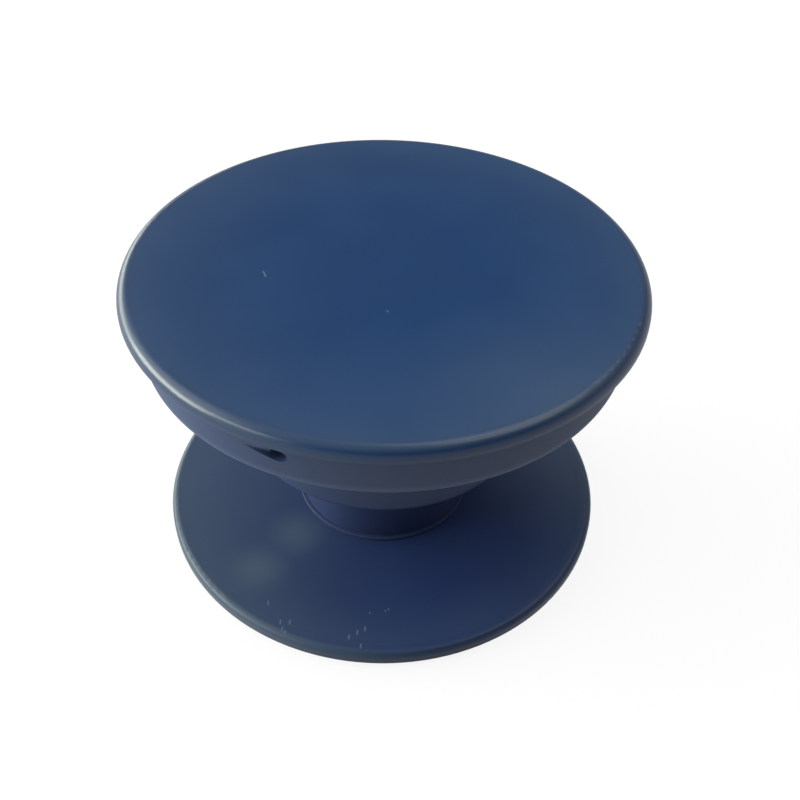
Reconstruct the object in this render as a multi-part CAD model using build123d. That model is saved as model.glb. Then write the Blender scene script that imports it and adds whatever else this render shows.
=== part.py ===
from build123d import *
from math import cos, hypot, radians, sin
import os

# Collapsible phone grip, pulled out. Millimetres, with +Z along the neck.
# The origin is the centre of the adhesive face, the lowest face of the grip.

# Adhesive pad
pad_thickness = 0.8
pad_standout = 0.3
pad_edge_gap = 0.25

# Base disc, a little smaller than the cap, with a rim around the pad
base_inset = 1.0
base_rim_width = 1.25
base_thickness = 1.3
base_top_round = 0.5
base_bottom_round = 0.3

# Swivel boss on the base, which the bellows' foot turns on
boss_diameter = 8.4
swivel_clearance = 0.1
swivel_play = 0.05

# Snap rivet that holds the foot down
rivet_head_clearance = 0.65
rivet_head_thickness = 1.1
rivet_head_round = 0.4
rivet_stem_diameter = 5.1
rivet_stem_clearance = 0.05
rivet_hollow_diameter = 2.6
rivet_slot_width = 0.7
rivet_slot_stop = 0.35
hook_reach = 0.45
hook_room = 0.6
hook_gap = 0.05
hook_lead_in = 0.35

# Bellows: three rings joined by two thin cones that fold at grooves, from the foot up
foot_diameter = 14.5
foot_lip_reach = 0.35
foot_lip_height = 0.55
foot_lip_round = 0.25
foot_height = 4.7
foot_wall = 1.3
foot_flange_thickness = 1.0
lower_cone_rise = 4.1
tier_diameter = 24.2
tier_height = 4.4
tier_wall = 1.3
upper_cone_rise = 4.6
collar_inset = 1.0
collar_draft = 0.2
collar_height = 4.6
collar_wall = 1.5
cone_wall = 0.8
cone_seat = 0.5
fold_groove_radius = 0.3
tier_edge_round = 0.6
collar_edge_round = 1.2

# Vent notch: a flat passage that slants in through the collar's wall
vent_mouth_azimuth = -25.4
vent_exit_azimuth = -13.4
vent_drop = 1.88
vent_width = 1.4
vent_height = 1.1
vent_near_round = 0.5
vent_far_round = 0.25
vent_overrun = 2.5

# Top disc, whose split skirt snaps into the collar
disc_diameter = 40.0
disc_thickness = 1.1
disc_top_round = 0.85
disc_bottom_round = 0.08
skirt_clearance = 0.1
skirt_wall = 1.2
skirt_height = 2.4
bead_drop = 1.3
bead_radius = 0.35
bead_sink = 0.05
skirt_gap_width = 6.0
skirt_gap_count = 4

# Heights of the main faces
base_bottom = pad_standout
base_top = base_bottom + base_thickness
foot_top = base_top + foot_height
tier_bottom = foot_top + lower_cone_rise
tier_top = tier_bottom + tier_height
collar_bottom = tier_top + upper_cone_rise
collar_top = collar_bottom + collar_height
disc_top = collar_top + disc_thickness
boss_top = base_top + foot_flange_thickness + swivel_play
hook_ceiling = pad_thickness + hook_room

# Radii that more than one piece uses
disc_radius = disc_diameter / 2
base_radius = disc_radius - base_inset
pad_recess_radius = base_radius - base_rim_width
boss_radius = boss_diameter / 2
stem_radius = rivet_stem_diameter / 2
foot_radius = foot_diameter / 2
foot_inner_radius = foot_radius - foot_wall
tier_radius = tier_diameter / 2
collar_radius = disc_radius - collar_inset
collar_inner_radius = collar_radius - collar_wall
skirt_radius = collar_inner_radius - skirt_clearance
bead_height = collar_top - bead_drop


def ring(inner, outer, bottom, top):
    """Section of a plain ring, with the radius along x and the height along y."""
    return Pos((inner + outer) / 2, (bottom + top) / 2) * Rectangle(outer - inner, top - bottom)


def cone_strip(low, high):
    """Section of a thin cone's wall that runs between two points inside the rings it joins."""
    middle_line = Line(low, high)
    strip = SlotCenterToCenter(middle_line.length, cone_wall)
    return Pos(*(middle_line @ 0.5)) * Rot(0, 0, middle_line.tangent_angle_at(0)) * strip


def cone_face_height(low, high, radius, side):
    """Height at a radius on a cone's under face, with side -1, or on its upper face, with side 1."""
    run = high[0] - low[0]
    rise = high[1] - low[1]
    middle_height = low[1] + (radius - low[0]) * rise / run
    return middle_height + side * cone_wall / 2 * hypot(run, rise) / run


def rounded(section, radius, height, size):
    """Section with the corner nearest to a radius and a height rounded."""
    return fillet(section.vertices().sort_by_distance((radius, height))[0], size)


def turned(section):
    """Solid of revolution of a section about the neck's axis."""
    return revolve(Plane.XZ * section, Axis.Z)


def make_adhesive_pad():
    """Foam pad that fills the recess under the base and stands a little below it."""
    return turned(ring(0, pad_recess_radius - pad_edge_gap, 0, pad_thickness))


def make_base_disc():
    """Base plate with a rounded rim, a recess for the pad and a bored boss for the swivel."""
    bore = stem_radius + rivet_stem_clearance
    plate = ring(0, base_radius, base_bottom, base_top)
    plate = rounded(plate, base_radius, base_top, base_top_round)
    plate = rounded(plate, base_radius, base_bottom, base_bottom_round)
    plate += ring(0, boss_radius, base_bottom, boss_top)
    plate -= ring(0, pad_recess_radius, base_bottom, pad_thickness)
    plate -= ring(0, bore + hook_reach + hook_gap, pad_thickness, hook_ceiling)
    plate -= ring(0, bore, pad_thickness, boss_top)
    return turned(plate)


def make_hub_plug():
    """Snap rivet: a flat head on the boss, and a hollow stem split into four hooked legs."""
    head_radius = foot_inner_radius - rivet_head_clearance
    head_top = boss_top + rivet_head_thickness
    stem_bottom = pad_thickness + hook_gap
    shoulder = hook_ceiling - hook_gap
    head = rounded(ring(0, head_radius, boss_top, head_top), head_radius, head_top, rivet_head_round)
    stem = ring(0, stem_radius, shoulder, boss_top)
    hook = make_face(
        Polyline(
            (0, stem_bottom),
            (stem_radius - hook_lead_in, stem_bottom),
            (stem_radius + hook_reach, shoulder),
            (0, shoulder),
            close=True,
        )
    )
    hollow = ring(0, rivet_hollow_diameter / 2, stem_bottom, boss_top)
    plug = turned(head + stem + hook - hollow)
    slot_top = boss_top - rivet_slot_stop
    slot = Box(2 * head_radius, rivet_slot_width, slot_top, align=(Align.CENTER, Align.CENTER, Align.MIN))
    return plug - slot - Rot(0, 0, 90) * slot


def wall_point(radius, azimuth, height):
    """Point at an azimuth that is counted from the front, -Y, towards +X."""
    return Vector(radius * sin(radians(azimuth)), -radius * cos(radians(azimuth)), height)


def make_vent():
    """Flat passage from its mouth on the collar's face to its exit on the inside, cut long at both ends."""
    height = collar_top - vent_drop
    mouth = wall_point(collar_radius, vent_mouth_azimuth, height)
    way_in = wall_point(collar_inner_radius, vent_exit_azimuth, height) - mouth
    direction = way_in.normalized()
    start = mouth - direction * vent_overrun
    plane = Plane(origin=start, x_dir=direction.cross(Vector(0, 0, 1)), z_dir=direction)
    section = Rectangle(vent_width, vent_height)
    section = fillet(section.vertices().group_by(Axis.X)[0], vent_near_round)
    section = fillet(section.vertices().group_by(Axis.X)[-1], vent_far_round)
    return extrude(plane * section, way_in.length + 2 * vent_overrun)


def make_bellows():
    """Stepped accordion neck, one moulding: three rings and two thin cones, grooved where they fold."""
    tier_inner = tier_radius - tier_wall
    half_cone = cone_wall / 2
    collar_lower_radius = collar_radius - collar_draft
    foot = ring(foot_inner_radius, foot_radius, base_top, foot_top)
    flange_top = base_top + foot_flange_thickness
    foot += ring(boss_radius + swivel_clearance, foot_radius, base_top, flange_top)
    lip_radius = foot_radius + foot_lip_reach
    lip_top = base_top + foot_lip_height
    foot += rounded(ring(foot_radius, lip_radius, base_top, lip_top), lip_radius, lip_top, foot_lip_round)
    tier = rounded(ring(tier_inner, tier_radius, tier_bottom, tier_top), tier_radius, tier_bottom, tier_edge_round)
    collar = make_face(
        Polyline(
            (collar_inner_radius, collar_bottom),
            (collar_lower_radius, collar_bottom),
            (collar_radius, collar_top),
            (collar_inner_radius, collar_top),
            close=True,
        )
    )
    collar = rounded(collar, collar_lower_radius, collar_bottom, collar_edge_round)
    collar -= Pos(skirt_radius - bead_sink, bead_height) * Circle(bead_radius + skirt_clearance)
    neck = foot + tier + collar
    lower_cone = (
        (foot_radius - foot_wall / 2, foot_top - half_cone),
        (tier_inner + half_cone, tier_bottom + cone_seat),
    )
    upper_cone = (
        (tier_radius - tier_wall / 2, tier_top - half_cone),
        (collar_inner_radius + half_cone, collar_bottom + cone_seat),
    )
    for ends in (lower_cone, upper_cone):
        neck += cone_strip(*ends)
    folds = (
        (lower_cone, foot_radius, -1),
        (lower_cone, tier_inner, 1),
        (upper_cone, tier_radius, -1),
        (upper_cone, collar_inner_radius, 1),
    )
    for ends, radius, side in folds:
        neck -= Pos(radius, cone_face_height(*ends, radius, side)) * Circle(fold_groove_radius)
    return turned(neck) - make_vent()


def make_top_disc():
    """Cap with a soft upper shoulder, and a beaded skirt under it that is split into arcs."""
    plate = ring(0, disc_radius, collar_top, disc_top)
    plate = rounded(plate, disc_radius, disc_top, disc_top_round)
    plate = rounded(plate, disc_radius, collar_top, disc_bottom_round)
    skirt = ring(skirt_radius - skirt_wall, skirt_radius, collar_top - skirt_height, collar_top)
    skirt += Pos(skirt_radius - bead_sink, bead_height) * Circle(bead_radius)
    skirt_solid = turned(skirt)
    gap = Pos(0, -skirt_radius, collar_top - skirt_height / 2) * Box(
        skirt_gap_width, 2 * skirt_wall + 2 * bead_radius, skirt_height
    )
    for index in range(skirt_gap_count):
        skirt_solid -= Rot(0, 0, vent_exit_azimuth + index * 360 / skirt_gap_count) * gap
    return turned(plate) + skirt_solid


os.makedirs("parts", exist_ok=True)
nodes = {
    "adhesive_pad": make_adhesive_pad(),
    "base_disc": make_base_disc(),
    "hub_plug": make_hub_plug(),
    "bellows": make_bellows(),
    "top_disc": make_top_disc(),
}
for name, solid in nodes.items():
    export_step(solid, f"parts/{name}.step")
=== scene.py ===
import math

import bmesh
import bpy
from mathutils import Matrix, Vector


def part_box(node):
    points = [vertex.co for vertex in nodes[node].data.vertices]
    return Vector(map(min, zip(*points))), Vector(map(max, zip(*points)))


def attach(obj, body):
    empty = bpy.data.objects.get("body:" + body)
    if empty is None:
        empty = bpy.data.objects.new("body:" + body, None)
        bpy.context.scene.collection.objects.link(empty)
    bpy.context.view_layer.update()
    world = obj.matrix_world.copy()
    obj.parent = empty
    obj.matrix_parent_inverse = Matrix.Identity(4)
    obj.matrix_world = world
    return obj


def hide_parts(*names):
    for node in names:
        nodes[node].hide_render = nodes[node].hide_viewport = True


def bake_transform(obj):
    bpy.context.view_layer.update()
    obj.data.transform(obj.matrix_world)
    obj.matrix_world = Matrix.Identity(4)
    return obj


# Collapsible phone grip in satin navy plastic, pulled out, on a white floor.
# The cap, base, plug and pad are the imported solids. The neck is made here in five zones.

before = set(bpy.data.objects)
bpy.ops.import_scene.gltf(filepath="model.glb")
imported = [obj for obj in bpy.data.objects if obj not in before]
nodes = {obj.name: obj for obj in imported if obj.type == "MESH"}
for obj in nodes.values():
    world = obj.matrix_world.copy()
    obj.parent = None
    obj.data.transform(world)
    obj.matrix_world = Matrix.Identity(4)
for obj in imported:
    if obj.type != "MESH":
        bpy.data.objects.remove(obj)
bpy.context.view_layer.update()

# Sizes are in millimetres unless a heading says otherwise
MM = 0.001

# Rings of the neck: collar, tier, foot with its low lip, and the small round of their other edges
COLLAR_HEIGHT = 4.6
COLLAR_WALL = 1.5
COLLAR_DRAFT = 0.2
COLLAR_EDGE_ROUND = 1.2
TIER_RADIUS = 12.1
TIER_WALL = 1.3
TIER_HEIGHT = 4.4
TIER_EDGE_ROUND = 0.6
FOOT_RADIUS = 7.25
FOOT_WALL = 1.3
FOOT_HEIGHT = 4.7
FOOT_BORE_RADIUS = 4.3
FOOT_FLANGE_THICKNESS = 1.0
LIP_REACH = 0.35
LIP_HEIGHT = 0.25
LIP_ROUND = 0.1
SMALL_ROUND = 0.12

# Thin cones that join the rings, with a groove at each fold
LOWER_CONE_RISE = 4.1
CONE_WALL = 0.8
CONE_SEAT = 0.5
FOLD_GROOVE_RADIUS = 0.3

# Heights and radii that follow from the frame and from these sizes
NECK_LOW, NECK_HIGH = (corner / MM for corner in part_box("bellows"))
CAP_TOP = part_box("top_disc")[1].z / MM
BASE_TOP = NECK_LOW.z
FOOT_TOP = BASE_TOP + FOOT_HEIGHT
FOOT_FLANGE_TOP = BASE_TOP + FOOT_FLANGE_THICKNESS
FOOT_INNER_RADIUS = FOOT_RADIUS - FOOT_WALL
LIP_RADIUS = FOOT_RADIUS + LIP_REACH
LIP_TOP = BASE_TOP + LIP_HEIGHT
TIER_BOTTOM = FOOT_TOP + LOWER_CONE_RISE
TIER_TOP = TIER_BOTTOM + TIER_HEIGHT
TIER_INNER_RADIUS = TIER_RADIUS - TIER_WALL
COLLAR_TOP = NECK_HIGH.z
COLLAR_BOTTOM = COLLAR_TOP - COLLAR_HEIGHT
COLLAR_RADIUS = NECK_HIGH.x
COLLAR_LOWER_RADIUS = COLLAR_RADIUS - COLLAR_DRAFT
COLLAR_INNER_RADIUS = COLLAR_RADIUS - COLLAR_WALL

# Vent notch in the collar: a shallow tail that grows from a tip on the left, and a hole at its right end.
# A station has a back and a front point, along the collar and outwards from the mouth, and a height.
# The rounding of its corners is a share of its section.
VENT_AZIMUTH = -23.8
VENT_DROP = 1.75
VENT_ROUND = 0.4
VENT_STATIONS = (
    ((-1.75, -0.12), (-0.75, 1.0), 0.08),
    ((0.15, -0.46), (1.45, 1.0), 0.95),
    ((0.75, -2.6), (1.75, -2.6), 1.1),
)

# Fineness of the turned neck
TURN_STEPS = 224
ARC_STEPS = 7
ROW_LENGTH = 0.35
SHARP_ANGLE = math.radians(38)

# The upper cone ends a little inside the collar.
CONE_OVERLAP = 0.35
CONE_END = COLLAR_BOTTOM + CONE_OVERLAP

# Camera, fitted to the photograph's outlines
IMAGE_SIZE = 800
CAMERA_FOCAL_PIXELS = 981.275
CAMERA_PLACE = (0, -61.637, 67.606)
CAMERA_PITCH = math.radians(42.527)
CAMERA_YAW = math.radians(0.934)
CAMERA_ROLL = math.radians(-0.80)
SENSOR_WIDTH = 36
NEAR_CLIP = 2

# Soft lights, in metres: azimuth and elevation in degrees, width and height, radiance and colour
LIGHT_DISTANCE = 1.5
WHITE = (1, 1, 1)
WINDOW_TINT = (0.97, 1.0, 0.82)
WINDOWS = {
    "window_back": (-132, 12, (1.1, 0.5), 3.2, WINDOW_TINT),
    "window_side": (-91, 15, (1.1, 0.58), 7.1, WINDOW_TINT),
    "window_front": (-60, 28, (0.7, 0.4), 2.8, WINDOW_TINT),
    "window_high": (-105, 42, (1.2, 0.9), 0.9, WHITE),
    "ceiling": (114, 66, (1.3, 0.9), 1.0, WHITE),
}

# Light of the world on the grip, and soft glows in it.
# A glow has its azimuth and elevation in degrees, the cosine at its edge, and its strength.
WORLD_LIGHT = 0.09
GLOWS = (
    (-125, 42, 0.45, 0.90),
    (-98, 12, 0.7, 2.9),
    (118, 10, 0.55, 1.0),
)

# Share of the white background that a gloss mirrors, low and high in the sky, and the sines of both heights
MIRRORED_LOW = 0.35
MIRRORED_HIGH = 0.035
SKY_RANGE = (0.12, 0.38)

# Floor: half its width in metres, its grey for the grip and for the eye, and its glow for the eye
FLOOR_REACH = 3.0
FLOOR_LIT = 0.35
FLOOR_SHADE = 0.14
FLOOR_GLOW = 0.88

# Colours, linear, where a sheen-and-haze colour is the paler tone that painted light, shade and sheen and a
# small random haze mix in
CAP_BLUE = (0.0078, 0.0428, 0.140, 1)
BASE_BLUE = (0.0088, 0.0255, 0.115, 1)
NECK_BLUE = (0.0100, 0.026, 0.105, 1)
RIGID_SHEEN_AND_HAZE = (0.070, 0.108, 0.168, 1)
NECK_SHEEN_AND_HAZE = (0.072, 0.112, 0.225, 1)
PALE_SCRATCH = (0.20, 0.27, 0.36, 1)
GREY = (0.082, 0.094, 0.112, 1)
GREY_DARK = (0.060, 0.070, 0.086, 1)
FOAM_BLACK = (0.0055, 0.0055, 0.0065, 1)
FOAM_PORE = (0.016, 0.016, 0.018, 1)

# Grain and mottling of the blue plastic, and how much they change its tone, haze and roughness
NOISE_DETAIL = 3
GRAIN_SIZE = 0.16
GRAIN_DEPTH = 0.012
GRAIN_ROUGHNESS = 0.05
MOTTLE_SIZE = 6.0
MOTTLE_TONE = 0.03
MOTTLE_HAZE = 0.02
MOTTLE_ROUGHNESS = 0.03
TONE_RANGE = (0.3, 0.7)
ROUGHNESS_RANGE = (0.2, 0.8)
RIGID_SPECULAR = 0.18
NECK_SPECULAR = 0.5

# Radius from which each blue piece is smoother, and its roughness within and from there
CAP_POLISH = (19.4, 0.65, 0.35)
NECK_POLISH = (8.7, 0.65, 0.4)
BASE_POLISH = (18.5, 0.6, 0.34)
POLISH_BLEND = 0.7

# Clear gloss of the cap and base from that radius on: its index of refraction and its roughness
CAP_COAT = (1.59, 0.25)
BASE_COAT = (1.3, 0.32)

# Ramps of painted light, shade and sheen by radius, by height or across: where each starts and ends, and
# its strength at both
# The cap's painted sheen grows towards its rim. On the side it is kept only at the lit left, so the side's
# front and right stay dark as painted shade.
CAP_WIDE_SHEEN = (6, 20, 0, 0.21)
CAP_RIM_SHEEN = (16, 19.3, 0, 0.1)
CAP_SHOULDER_SHEEN = (19.1, 19.35, 0, 0.1)
CAP_ABOVE_SIDE = (19.6, 19.92, 1, 0)
CAP_LIT_LEFT = (1, -10, 0, 1)
# The base's painted light grows towards its left and its rim, which leaves it darker near the neck as
# painted shade, and it lights the left of its edge.
BASE_LEFT_PAINTED_LIGHT = (4, -17, 0, 0.42)
BASE_RIM_PAINTED_LIGHT = (13, 18.5, 0.1, 0.26)
BASE_EDGE = (18.3, 18.6, 0, 1)
BASE_EDGE_PAINTED_LIGHT = (10, -14, 0.1, 0.4)
# The neck's painted light and sheen grow from the foot, which is left in the dark neck blue as painted
# shade, out to the collar. There is more of it on the left, and painted shade just under the cap.
TIER_LIGHT_AND_FOOT_SHADE = (8, 12.5, 0.08, 0.37)
COLLAR_SHEEN = (13, 19, 0, 0.19)
NECK_LEFT_PAINTED_LIGHT = (-9, -17, 0, 0.3)
UNDER_CAP_PAINTED_SHADE = (COLLAR_TOP - 0.9, COLLAR_TOP - 0.45, 0, -0.33)

# Painted highlights on the lower edges of the tier and the collar: a ramp by height and a ramp by radius
NECK_EDGE_HIGHLIGHTS = (
    ((TIER_BOTTOM + 0.9, TIER_BOTTOM + 0.4, 0, 0.15), (10.5, 11.8, 0, 1)),
    ((COLLAR_BOTTOM + 1.5, COLLAR_BOTTOM + 0.9, 0, 0.4), (16, 17.5, 0, 1)),
)

# Soft patches of painted sheen on the cap and painted light on the base: middle, size and strength
CAP_SHEEN_PATCH = ((10, -14, CAP_TOP), 11, 0.2)
BASE_LIGHT_PATCH = ((16, 2, BASE_TOP), 12, 0.48)

# Marks of wear on the cap's top
SCRATCH_START = (-9.12, -1.35, CAP_TOP)
SCRATCH_END = (-8.86, -2.0, CAP_TOP)
SCRATCH_WIDTH = 0.09
SCRATCH_STRENGTH = 0.6
DOT_MIDDLE = (0.16, -6.0, CAP_TOP)
DOT_SIZE = 0.16
DOT_STRENGTH = 0.42

# Marks on the base's top: two soft pale spots of painted reflection, and specks and scuffs of wear
PAINTED_REFLECTIONS = ((-7.4, -6.9), (-10.2, -10.6))
REFLECTION_SIZE = 3.4
REFLECTION_STRENGTH = 0.45
SPECKS = ((-0.9, -15.05), (0.35, -14.85), (0.6, -14.7))
SPECK_SIZE = 0.13
SPECK_STRENGTH = 0.5
SCUFFS = (
    (-2.5, -17.35),
    (-1.85, -16.9),
    (-1.25, -16.55),
    (-1.55, -18.15),
    (-8.0, -16.0),
    (-7.8, -16.65),
    (-7.55, -17.0),
    (-7.25, -16.0),
    (-9.15, -14.2),
)
SCUFF_LENGTH = 0.35
SCUFF_WIDTH = 0.1
SCUFF_STRENGTH = 0.5

# Hidden rivet and pad
RIVET_GRAIN_SIZE = 0.2
RIVET_GRAIN_DEPTH = 0.01
RIVET_MOTTLE_SIZE = 2.5
RIVET_ROUGHNESS = (0.4, 0.55)
RIVET_SPECULAR = 0.4
FOAM_PORE_SIZE = 0.22
FOAM_PORE_DEPTH = 0.03
FOAM_ROUGHNESS = (0.75, 0.95)
FOAM_SPECULAR = 0.2

# Places of the sockets on a mix node: first and second input, and output
MIX_SOCKETS = {"FLOAT": (2, 3, 0), "RGBA": (6, 7, 2)}


# Section of the neck

def arc(centre, start, turn, steps):
    """Points on an arc about a centre from a start arm through a signed turn."""
    return [centre + Matrix.Rotation(turn * step / steps, 2) @ start for step in range(steps + 1)]


def cone_face(low, high, side):
    """Point and direction of a cone's under face, with side -1, or upper face, with side 1."""
    along = (high - low).normalized()
    return low + Vector((-along.y, along.x)) * side * CONE_WALL / 2, along


def at_radius(face, radius):
    """Point of a cone's face at a radius."""
    point, along = face
    return (radius, point.y + (radius - point.x) * along.y / along.x)


def at_height(face, height):
    """Point of a cone's face at a height."""
    point, along = face
    return (point.x + (height - point.y) * along.x / along.y, height)


def collar_edge(under_face):
    """Points of the collar's round lower edge, from the upper cone's under face to the collar's wall."""
    slope = (COLLAR_RADIUS - COLLAR_LOWER_RADIUS) / (COLLAR_TOP - COLLAR_BOTTOM)
    lean = math.atan(slope)
    wall_radius = COLLAR_LOWER_RADIUS + slope * COLLAR_EDGE_ROUND
    centre = Vector((wall_radius - COLLAR_EDGE_ROUND / math.cos(lean), COLLAR_BOTTOM + COLLAR_EDGE_ROUND))
    point, along = under_face
    offset = point - centre
    nearest = offset.dot(along)
    half_chord = math.sqrt(nearest**2 - offset.length_squared + COLLAR_EDGE_ROUND**2)
    start = offset + along * (half_chord - nearest)
    sweep = -lean - math.atan2(start.y, start.x)
    return arc(centre, start, sweep, ARC_STEPS)


def neck_corners():
    """Corners of the neck's section, anticlockwise, with their rounding, negative at a fold's groove."""
    half_cone = CONE_WALL / 2
    lower = (
        Vector(((FOOT_RADIUS + FOOT_INNER_RADIUS) / 2, FOOT_TOP - half_cone)),
        Vector((TIER_INNER_RADIUS + half_cone, TIER_BOTTOM + CONE_SEAT)),
    )
    upper = (
        Vector(((TIER_RADIUS + TIER_INNER_RADIUS) / 2, TIER_TOP - half_cone)),
        Vector((COLLAR_INNER_RADIUS + half_cone, COLLAR_BOTTOM + CONE_SEAT)),
    )
    lower_under = cone_face(*lower, -1)
    lower_upper = cone_face(*lower, 1)
    upper_under = cone_face(*upper, -1)
    upper_upper = cone_face(*upper, 1)
    return (
        ((FOOT_BORE_RADIUS, BASE_TOP), 0),
        ((LIP_RADIUS, BASE_TOP), 0),
        ((LIP_RADIUS, LIP_TOP), LIP_ROUND),
        ((FOOT_RADIUS, LIP_TOP), 0),
        (at_radius(lower_under, FOOT_RADIUS), -FOLD_GROOVE_RADIUS),
        (at_height(lower_under, TIER_BOTTOM), SMALL_ROUND),
        ((TIER_RADIUS, TIER_BOTTOM), TIER_EDGE_ROUND),
        (at_radius(upper_under, TIER_RADIUS), -FOLD_GROOVE_RADIUS),
        *((point, 0) for point in collar_edge(upper_under)),
        ((COLLAR_RADIUS, COLLAR_TOP), SMALL_ROUND),
        ((COLLAR_INNER_RADIUS, COLLAR_TOP), SMALL_ROUND),
        (at_radius(upper_upper, COLLAR_INNER_RADIUS), -FOLD_GROOVE_RADIUS),
        (at_height(upper_upper, TIER_TOP), 0),
        ((TIER_INNER_RADIUS, TIER_TOP), SMALL_ROUND),
        (at_radius(lower_upper, TIER_INNER_RADIUS), -FOLD_GROOVE_RADIUS),
        (at_height(lower_upper, FOOT_TOP), 0),
        ((FOOT_INNER_RADIUS, FOOT_TOP), SMALL_ROUND),
        ((FOOT_INNER_RADIUS, FOOT_FLANGE_TOP), 0),
        ((FOOT_BORE_RADIUS, FOOT_FLANGE_TOP), 0),
    )


def rounded_outline(corners):
    """Closed outline through corners, with an arc where one is rounded and an inward arc at a groove."""
    outline = []
    for index, (point, rounding) in enumerate(corners):
        here = Vector(point)
        back = (Vector(corners[index - 1][0]) - here).normalized()
        ahead = (Vector(corners[(index + 1) % len(corners)][0]) - here).normalized()
        turn = math.atan2(back.x * ahead.y - back.y * ahead.x, back.dot(ahead))
        if rounding > 0:
            half = abs(turn) / 2
            centre = here + (back + ahead).normalized() * rounding / math.sin(half)
            start = here + back * rounding / math.tan(half) - centre
            sweep = math.copysign(math.pi - abs(turn), -turn)
            outline += arc(centre, start, sweep, ARC_STEPS)
        elif rounding < 0:
            sweep = turn if turn < 0 else turn - 2 * math.pi
            outline += arc(here, -back * rounding, sweep, 2 * ARC_STEPS)
        else:
            outline.append(here)
    return outline


def rows_added(outline, levels):
    """Outline with a point where it crosses each level, and with long runs cut into rows."""
    finer = []
    for here, ahead in zip(outline, outline[1:] + outline[:1]):
        crossed = [level for level in levels if (here.y - level) * (ahead.y - level) < 0]
        cuts = [(level - here.y) / (ahead.y - here.y) for level in crossed]
        rows = int((ahead - here).length / ROW_LENGTH)
        cuts += [row / (rows + 1) for row in range(1, rows + 1)]
        finer.append(here)
        finer += [here.lerp(ahead, cut) for cut in sorted(cuts)]
    return finer


# Meshes

def linked_object(name, data):
    """New object in the scene."""
    made = bpy.data.objects.new(name, data)
    bpy.context.scene.collection.objects.link(made)
    return made


def bridge(made, near, far):
    """Adds the faces between two rings of vertices."""
    for index in range(len(near)):
        made.faces.new((near[index - 1], far[index - 1], far[index], near[index]))


def finished_mesh(name, made):
    """Mesh of the faces made so far."""
    mesh = bpy.data.meshes.new(name)
    made.to_mesh(mesh)
    made.free()
    return mesh


def turned_mesh(name, outline):
    """Ring of revolution of a closed outline about the neck's axis."""
    made = bmesh.new()
    rings = []
    for step in range(TURN_STEPS):
        angle = 2 * math.pi * step / TURN_STEPS
        sine = math.sin(angle)
        cosine = math.cos(angle)
        rings.append([made.verts.new((p.x * cosine * MM, p.x * sine * MM, p.y * MM)) for p in outline])
    for ring, following in zip(rings, rings[1:] + rings[:1]):
        bridge(made, ring, following)
    bmesh.ops.recalc_face_normals(made, faces=made.faces)
    return finished_mesh(name, made)


def vent_cutter():
    """Solid that cuts the vent, with a rounded upright section at each station."""
    turn = math.radians(VENT_AZIMUTH)
    along = Vector((math.cos(turn), math.sin(turn), 0))
    outwards = Vector((math.sin(turn), -math.cos(turn), 0))
    mouth = outwards * COLLAR_RADIUS + Vector((0, 0, COLLAR_TOP - VENT_DROP))
    corners = ((0, -0.5), (1, -0.5), (1, 0.5), (0, 0.5))
    section = rounded_outline([(corner, VENT_ROUND) for corner in corners])
    made = bmesh.new()
    rings = []
    for back, front, height in VENT_STATIONS:
        rings.append([])
        for point in section:
            across = Vector(back).lerp(Vector(front), point.x)
            place = mouth + along * across.x + outwards * across.y + Vector((0, 0, point.y * height))
            rings[-1].append(made.verts.new(place * MM))
    made.faces.new(rings[0])
    made.faces.new(rings[-1][::-1])
    for near, far in zip(rings, rings[1:]):
        bridge(made, near, far)
    bmesh.ops.recalc_face_normals(made, faces=made.faces)
    return finished_mesh("vent_cutter", made)


def neck_mesh(levels):
    """Whole neck with its vent cut, shaded smooth between its edges."""
    outline = rows_added(rounded_outline(neck_corners()), levels)
    body = linked_object("neck_whole", turned_mesh("neck_whole", outline))
    cutter = linked_object("vent_cutter", vent_cutter())
    cut = body.modifiers.new("vent", "BOOLEAN")
    cut.operation = "DIFFERENCE"
    cut.object = cutter
    cut.solver = "EXACT"
    shape = bpy.data.meshes.new_from_object(body.evaluated_get(bpy.context.evaluated_depsgraph_get()))
    bpy.data.objects.remove(body)
    bpy.data.objects.remove(cutter)
    shape.shade_smooth()
    shape.set_sharp_from_angle(angle=SHARP_ANGLE)
    return shape


def zone_piece(name, whole, bottom, top):
    """Part of the neck between two heights, with the whole neck's shading kept at the cuts."""
    normals = [corner.vector.copy() for corner in whole.corner_normals]
    kept = [face for face in whole.polygons if bottom <= face.center.z / MM < top]
    order = sorted({vertex for face in kept for vertex in face.vertices})
    place = {vertex: index for index, vertex in enumerate(order)}
    mesh = bpy.data.meshes.new(name)
    faces = [[place[vertex] for vertex in face.vertices] for face in kept]
    mesh.from_pydata([whole.vertices[vertex].co for vertex in order], [], faces)
    mesh.shade_smooth()
    mesh.normals_split_custom_set([normals[loop] for face in kept for loop in face.loop_indices])
    piece = linked_object(name, mesh)
    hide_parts("bellows")
    return piece


def make_neck():
    """Zones of the neck: the foot is attached to the neck's body, the collar to the cap's body, and the
    rest to none.
    """
    levels = (FOOT_TOP, TIER_BOTTOM, TIER_TOP, CONE_END)
    whole = neck_mesh(levels)
    bottoms = (-math.inf, *levels)
    tops = (*levels, math.inf)
    names = ("neck_foot", "neck_lower_cone", "neck_tier", "neck_upper_cone", "neck_collar")
    pieces = [zone_piece(name, whole, bottom, top) for name, bottom, top in zip(names, bottoms, tops)]
    foot, lower_cone, tier, upper_cone, collar = pieces
    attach(foot, "neck")
    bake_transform(lower_cone)
    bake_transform(tier)
    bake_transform(upper_cone)
    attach(collar, "cap")
    return pieces


# Shader nodes

def add_node(tree, kind, inputs=None, **settings):
    """Adds a node, sets its settings, and feeds each named input a socket or a constant."""
    made = tree.nodes.new(kind)
    for name, value in settings.items():
        setattr(made, name, value)
    for name, value in (inputs or {}).items():
        if isinstance(value, bpy.types.NodeSocket):
            tree.links.new(value, made.inputs[name])
        else:
            made.inputs[name].default_value = value
    return made


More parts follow.
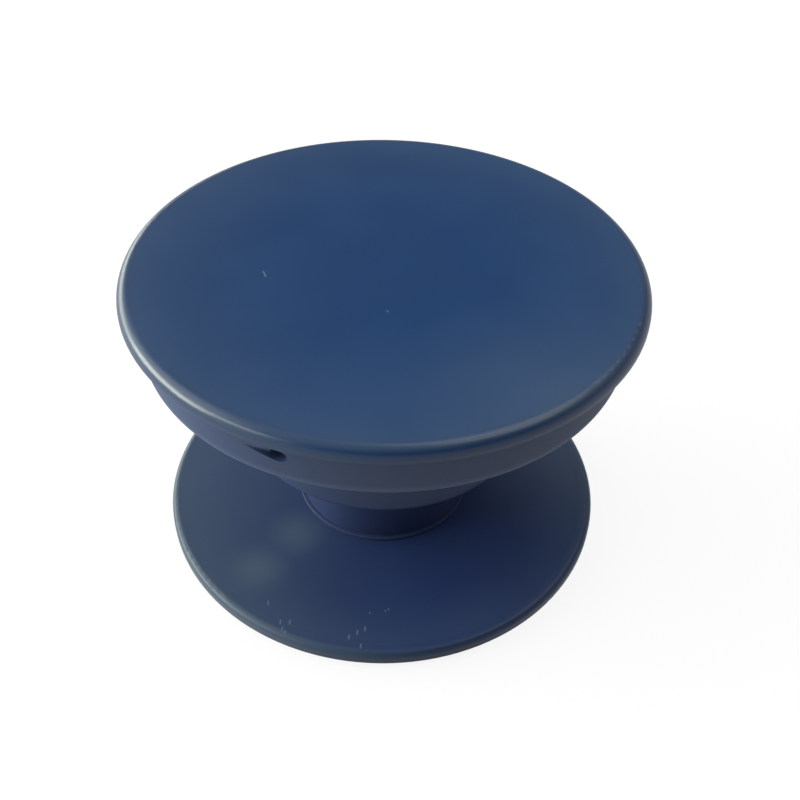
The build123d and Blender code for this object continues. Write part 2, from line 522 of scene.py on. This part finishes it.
def compute(tree, operation, first, second):
    """Result of a math node on two numbers."""
    return add_node(tree, "ShaderNodeMath", {0: first, 1: second}, operation=operation).outputs[0]


def combined(tree, operation, masks):
    """Several masks joined by a math operation, such as their sum or the strongest of them."""
    joined = masks[0]
    for mask in masks[1:]:
        joined = compute(tree, operation, joined, mask)
    return joined


def vector_math(tree, operation, inputs, output="Vector"):
    """Result of a vector math node, which is a vector or a value."""
    return add_node(tree, "ShaderNodeVectorMath", inputs, operation=operation).outputs[output]


def remap(tree, value, low, high, to_low=0.0, to_high=1.0):
    """Value moved smoothly from one range to another, and held at its ends."""
    inputs = {"Value": value, 1: low, 2: high, 3: to_low, 4: to_high}
    return add_node(tree, "ShaderNodeMapRange", inputs, interpolation_type="SMOOTHSTEP").outputs[0]


def mixed(tree, share, first, second, kind="RGBA"):
    """Colour, or number with the kind FLOAT, between two others."""
    first_socket, second_socket, output = MIX_SOCKETS[kind]
    inputs = {"Factor": share, first_socket: first, second_socket: second}
    return add_node(tree, "ShaderNodeMix", inputs, data_type=kind).outputs[output]


def noise(tree, place, size):
    """Noise between 0 and 1 with features of about a size."""
    inputs = {"Vector": place, "Scale": 1 / (size * MM), "Detail": NOISE_DETAIL}
    return add_node(tree, "ShaderNodeTexNoise", inputs).outputs["Fac"]


def in_millimetres(tree, length):
    """Length in metres turned into millimetres."""
    return compute(tree, "MULTIPLY", length, 1 / MM)


def right_of(tree, place):
    """Distance of a place to the right of the neck's axis, in millimetres."""
    return in_millimetres(tree, add_node(tree, "ShaderNodeSeparateXYZ", {0: place}).outputs["X"])


def height_of(tree, place):
    """Height of a place above the adhesive face, in millimetres."""
    return in_millimetres(tree, add_node(tree, "ShaderNodeSeparateXYZ", {0: place}).outputs["Z"])


def radius_of(tree, place):
    """Distance of a place from the neck's axis, in millimetres."""
    flat = vector_math(tree, "MULTIPLY", {0: place, 1: (1, 1, 0)})
    return in_millimetres(tree, vector_math(tree, "LENGTH", {0: flat}, "Value"))


def spot(tree, place, centre, size, strength):
    """Soft round spot about a centre."""
    distance = vector_math(tree, "DISTANCE", {0: place, 1: Vector(centre) * MM}, "Value")
    return remap(tree, distance, 0, size * MM, strength, 0)


def streak(tree, place, start, end, width, strength):
    """Soft thin line from a start to an end."""
    run = Vector(end) - Vector(start)
    direction = run.normalized()
    offset = vector_math(tree, "SUBTRACT", {0: place, 1: Vector(start) * MM})
    reach = vector_math(tree, "DOT_PRODUCT", {0: offset, 1: direction}, "Value")
    held = compute(tree, "MINIMUM", compute(tree, "MAXIMUM", reach, 0), run.length * MM)
    nearest = vector_math(tree, "SCALE", {0: direction, "Scale": held})
    distance = vector_math(tree, "DISTANCE", {0: offset, 1: nearest}, "Value")
    return remap(tree, distance, 0, width * MM, strength, 0)


# Materials

def new_material(name):
    """Empty node material: its tree, its shader node and its object coordinates."""
    material = bpy.data.materials.new(name)
    material.use_nodes = True
    tree = material.node_tree
    shader = tree.nodes["Principled BSDF"]
    place = add_node(tree, "ShaderNodeTexCoord").outputs["Object"]
    return material, tree, shader, place


def feed(tree, shader, colour, roughness, relief, depth, specular):
    """Connects colour, roughness and a relief of some depth to a shader, and sets its specular level."""
    tree.links.new(colour, shader.inputs["Base Color"])
    tree.links.new(roughness, shader.inputs["Roughness"])
    bump = add_node(tree, "ShaderNodeBump", {"Height": relief, "Distance": depth * MM})
    tree.links.new(bump.outputs["Normal"], shader.inputs["Normal"])
    shader.inputs["Specular IOR Level"].default_value = specular


def toned(colour, level):
    """Colour made lighter or darker."""
    return (*(level * part for part in colour[:3]), 1)


def satin_blue(name, blue, painted_light, polish, marks=None, coat=None, sheen_and_haze=RIGID_SHEEN_AND_HAZE, specular=RIGID_SPECULAR):
    """Satin navy plastic with mould grain, faint mottling, a paler tone of painted light, shade and sheen,
    and pale marks.

    From the radius of its polish on it is smoother, and there it has a clear gloss if a coat is given.
    """
    material, tree, shader, place = new_material(name)
    grain = noise(tree, place, GRAIN_SIZE)
    mottle = noise(tree, place, MOTTLE_SIZE)
    tone = remap(tree, mottle, *TONE_RANGE)
    colour = mixed(tree, tone, toned(blue, 1 - MOTTLE_TONE), toned(blue, 1 + MOTTLE_TONE))
    uneven = remap(tree, mottle, *TONE_RANGE, -MOTTLE_HAZE, MOTTLE_HAZE)
    # The paler tone carries the piece's painted light, shade and sheen, plus a small random haze from the
    # mottling.
    colour = mixed(tree, compute(tree, "ADD", painted_light(tree, place), uneven), colour, sheen_and_haze)
    if marks:
        colour = mixed(tree, marks(tree, place), colour, PALE_SCRATCH)
    smooth_radius, matt, smooth = polish
    blend = (smooth_radius - POLISH_BLEND, smooth_radius)
    radius = radius_of(tree, place)
    roughness_parts = [
        remap(tree, mottle, *ROUGHNESS_RANGE, 0, MOTTLE_ROUGHNESS),
        remap(tree, grain, *ROUGHNESS_RANGE, 0, GRAIN_ROUGHNESS),
        remap(tree, radius, *blend, matt, smooth),
    ]
    feed(tree, shader, colour, combined(tree, "ADD", roughness_parts), grain, GRAIN_DEPTH, specular)
    if coat:
        refraction, coat_roughness = coat
        tree.links.new(remap(tree, radius, *blend), shader.inputs["Coat Weight"])
        shader.inputs["Coat IOR"].default_value = refraction
        shader.inputs["Coat Roughness"].default_value = coat_roughness
    return material


def cap_painted_sheen(tree, place):
    """Painted sheen towards the cap's rim, most of all at its front right, and on its side only at the lit
    left.
    """
    radius = radius_of(tree, place)
    ramps = (CAP_WIDE_SHEEN, CAP_RIM_SHEEN, CAP_SHOULDER_SHEEN)
    painted_light = [remap(tree, radius, *ramp) for ramp in ramps]
    painted_light.append(spot(tree, place, *CAP_SHEEN_PATCH))
    # Painted shade: the side's front and right are left without sheen.
    above_side = remap(tree, radius, *CAP_ABOVE_SIDE)
    left = remap(tree, right_of(tree, place), *CAP_LIT_LEFT)
    kept = compute(tree, "MAXIMUM", above_side, left)
    return compute(tree, "MULTIPLY", combined(tree, "ADD", painted_light), kept)


def cap_marks(tree, place):
    """One short scratch and one dot on the cap's face."""
    scratch = streak(tree, place, SCRATCH_START, SCRATCH_END, SCRATCH_WIDTH, SCRATCH_STRENGTH)
    dot = spot(tree, place, DOT_MIDDLE, DOT_SIZE, DOT_STRENGTH)
    return compute(tree, "MAXIMUM", scratch, dot)


def base_painted_light(tree, place):
    """Painted light towards the base's rim and left, with a patch at the right, on the left of its edge,
    and two pale spots of painted reflection.
    """
    radius = radius_of(tree, place)
    right = right_of(tree, place)
    # Painted light on the lit left of the base's edge.
    edge = compute(tree, "MULTIPLY", remap(tree, radius, *BASE_EDGE), remap(tree, right, *BASE_EDGE_PAINTED_LIGHT))
    # Two soft pale spots are painted reflections of light on the base.
    reflection_spots = [spot(tree, place, (*middle, BASE_TOP), REFLECTION_SIZE, REFLECTION_STRENGTH) for middle in PAINTED_REFLECTIONS]
    painted_light = [
        remap(tree, right, *BASE_LEFT_PAINTED_LIGHT),
        remap(tree, radius, *BASE_RIM_PAINTED_LIGHT),
        spot(tree, place, *BASE_LIGHT_PATCH),
        edge,
        combined(tree, "MAXIMUM", reflection_spots),
    ]
    return combined(tree, "ADD", painted_light)


def base_marks(tree, place):
    """Small specks and short scuffs near the base's front edge."""
    marks = [spot(tree, place, (*middle, BASE_TOP), SPECK_SIZE, SPECK_STRENGTH) for middle in SPECKS]
    for x, y in SCUFFS:
        start = (x, y - SCUFF_LENGTH / 2, BASE_TOP)
        end = (x, y + SCUFF_LENGTH / 2, BASE_TOP)
        marks.append(streak(tree, place, start, end, SCUFF_WIDTH, SCUFF_STRENGTH))
    return combined(tree, "MAXIMUM", marks)


def neck_painted_light(tree, place):
    """Painted light on the tier, more on the collar and its left, painted highlights on their lower edges,
    and painted shade close under the cap and at the foot.
    """
    radius = radius_of(tree, place)
    height = height_of(tree, place)
    painted_light = [
        remap(tree, radius, *TIER_LIGHT_AND_FOOT_SHADE),
        remap(tree, radius, *COLLAR_SHEEN),
        remap(tree, height, *UNDER_CAP_PAINTED_SHADE),
        remap(tree, right_of(tree, place), *NECK_LEFT_PAINTED_LIGHT),
    ]
    # Painted highlights on the lower edges.
    for by_height, by_radius in NECK_EDGE_HIGHLIGHTS:
        edge = compute(tree, "MULTIPLY", remap(tree, height, *by_height), remap(tree, radius, *by_radius))
        painted_light.append(edge)
    return combined(tree, "ADD", painted_light)


def grey_plastic():
    """Plain moulded grey plastic of the hidden snap rivet."""
    material, tree, shader, place = new_material("grey_plastic")
    grain = noise(tree, place, RIVET_GRAIN_SIZE)
    mottle = noise(tree, place, RIVET_MOTTLE_SIZE)
    colour = mixed(tree, mottle, GREY_DARK, GREY)
    roughness = remap(tree, mottle, 0, 1, *RIVET_ROUGHNESS)
    feed(tree, shader, colour, roughness, grain, RIVET_GRAIN_DEPTH, RIVET_SPECULAR)
    return material


def black_foam():
    """Matt adhesive foam with fine pores."""
    material, tree, shader, place = new_material("black_foam")
    inputs = {"Vector": place, "Scale": 1 / (FOAM_PORE_SIZE * MM)}
    pores = add_node(tree, "ShaderNodeTexVoronoi", inputs).outputs["Distance"]
    colour = mixed(tree, pores, FOAM_BLACK, FOAM_PORE)
    roughness = remap(tree, pores, 0, 1, *FOAM_ROUGHNESS)
    feed(tree, shader, colour, roughness, pores, FOAM_PORE_DEPTH, FOAM_SPECULAR)
    return material


def dress(objects, material):
    """Gives objects one material in all their slots."""
    for shown in objects:
        shown.data.materials.clear()
        shown.data.materials.append(material)


# Studio

def towards(azimuth, elevation):
    """Direction from the grip, with the azimuth in degrees counted from the front, -Y, towards +X."""
    turn = math.radians(azimuth)
    lift = math.radians(elevation)
    return Vector((math.sin(turn) * math.cos(lift), -math.cos(turn) * math.cos(lift), math.sin(lift)))


def background_rays(tree, mirrored):
    """1 for rays that show the background, and its brightness for them: full, or a share in a gloss."""
    rays = add_node(tree, "ShaderNodeLightPath").outputs
    kinds = ("Is Camera Ray", "Is Glossy Ray", "Is Transmission Ray")
    shows = combined(tree, "MAXIMUM", [rays[kind] for kind in kinds])
    dimmed = compute(tree, "MULTIPLY", rays["Is Glossy Ray"], compute(tree, "SUBTRACT", 1, mirrored))
    return shows, compute(tree, "SUBTRACT", 1, dimmed)


def diffuse_grey(tree, level):
    """Plain diffuse shader of a grey."""
    return add_node(tree, "ShaderNodeBsdfDiffuse", {"Color": (level, level, level, 1)}).outputs[0]


def floor_white():
    """White for the eye with a soft shadow, and a grey that throws little light back on the grip."""
    material = bpy.data.materials.new("floor_white")
    material.use_nodes = True
    tree = material.node_tree
    tree.nodes.remove(tree.nodes["Principled BSDF"])
    shows, level = background_rays(tree, MIRRORED_LOW)
    strength = compute(tree, "MULTIPLY", level, FLOOR_GLOW)
    glow = add_node(tree, "ShaderNodeEmission", {"Color": (*WHITE, 1), "Strength": strength}).outputs[0]
    white = add_node(tree, "ShaderNodeAddShader", {0: diffuse_grey(tree, FLOOR_SHADE), 1: glow}).outputs[0]
    inputs = {0: shows, 1: diffuse_grey(tree, FLOOR_LIT), 2: white}
    shown = add_node(tree, "ShaderNodeMixShader", inputs).outputs[0]
    tree.links.new(shown, tree.nodes["Material Output"].inputs["Surface"])
    return material


def make_floor():
    """Wide flat floor under the grip."""
    made = bmesh.new()
    bmesh.ops.create_grid(made, x_segments=1, y_segments=1, size=FLOOR_REACH)
    floor = linked_object("floor", finished_mesh("floor", made))
    dress([floor], floor_white())


def make_world():
    """White for the eye, dimmer in a gloss and most of all high up, and a few soft glows on the grip."""
    world = bpy.data.worlds.new("studio")
    bpy.context.scene.world = world
    world.use_nodes = True
    tree = world.node_tree
    background = tree.nodes["Background"]
    direction = add_node(tree, "ShaderNodeTexCoord").outputs["Generated"]
    up = add_node(tree, "ShaderNodeSeparateXYZ", {0: direction}).outputs["Z"]
    shows, seen = background_rays(tree, remap(tree, up, *SKY_RANGE, MIRRORED_LOW, MIRRORED_HIGH))
    lit = WORLD_LIGHT
    for azimuth, elevation, edge, glow in GLOWS:
        inputs = {0: direction, 1: towards(azimuth, elevation)}
        closeness = vector_math(tree, "DOT_PRODUCT", inputs, "Value")
        lit = compute(tree, "ADD", remap(tree, closeness, edge, 1, 0, glow), lit)
    background.inputs["Color"].default_value = (*WHITE, 1)
    tree.links.new(mixed(tree, shows, lit, seen, "FLOAT"), background.inputs["Strength"])


def add_window(name, azimuth, elevation, size, radiance, colour):
    """Rectangular soft light that faces the grip. Its power follows from its size and radiance."""
    away = towards(azimuth, elevation)
    width, height = size
    data = bpy.data.lights.new(name, "AREA")
    data.shape = "RECTANGLE"
    data.size = width
    data.size_y = height
    data.color = colour
    data.energy = radiance * math.pi * width * height
    light = linked_object(name, data)
    light.location = away * LIGHT_DISTANCE
    light.rotation_euler = away.to_track_quat("Z", "Y").to_euler()


def make_lights():
    """Low windows on the left, a broad high one above them, and a ceiling light on the right."""
    for name, settings in WINDOWS.items():
        add_window(name, *settings)


def make_camera():
    """Camera at the photograph's place, turn and focal length."""
    right = Vector((1, 0, 0))
    ahead = Vector((0, math.cos(CAMERA_PITCH), -math.sin(CAMERA_PITCH)))
    down = Vector((0, -math.sin(CAMERA_PITCH), -math.cos(CAMERA_PITCH)))
    yawed_right = math.cos(CAMERA_YAW) * right - math.sin(CAMERA_YAW) * ahead
    yawed_ahead = math.sin(CAMERA_YAW) * right + math.cos(CAMERA_YAW) * ahead
    rolled_right = math.cos(CAMERA_ROLL) * yawed_right + math.sin(CAMERA_ROLL) * down
    rolled_down = math.cos(CAMERA_ROLL) * down - math.sin(CAMERA_ROLL) * yawed_right
    data = bpy.data.cameras.new("camera")
    data.sensor_width = SENSOR_WIDTH
    data.lens = CAMERA_FOCAL_PIXELS / IMAGE_SIZE * SENSOR_WIDTH
    data.clip_start = NEAR_CLIP * MM
    camera = linked_object("camera", data)
    turned = Matrix((rolled_right, -rolled_down, -yawed_ahead)).transposed().to_4x4()
    camera.matrix_world = Matrix.Translation(Vector(CAMERA_PLACE) * MM) @ turned
    bpy.context.scene.camera = camera


# The whole scene

neck_blue = satin_blue(
    "blue_flexible_plastic", NECK_BLUE, neck_painted_light, NECK_POLISH, sheen_and_haze=NECK_SHEEN_AND_HAZE, specular=NECK_SPECULAR
)
cap_blue = satin_blue("blue_plastic_cap", CAP_BLUE, cap_painted_sheen, CAP_POLISH, cap_marks, CAP_COAT)
base_blue = satin_blue("blue_plastic_base", BASE_BLUE, base_painted_light, BASE_POLISH, base_marks, BASE_COAT)
dress(make_neck(), neck_blue)
dress([nodes["top_disc"]], cap_blue)
dress([nodes["base_disc"]], base_blue)
dress([nodes["hub_plug"]], grey_plastic())
dress([nodes["adhesive_pad"]], black_foam())
make_floor()
make_world()
make_lights()
make_camera()
bpy.context.scene.view_settings.view_transform = "Standard"
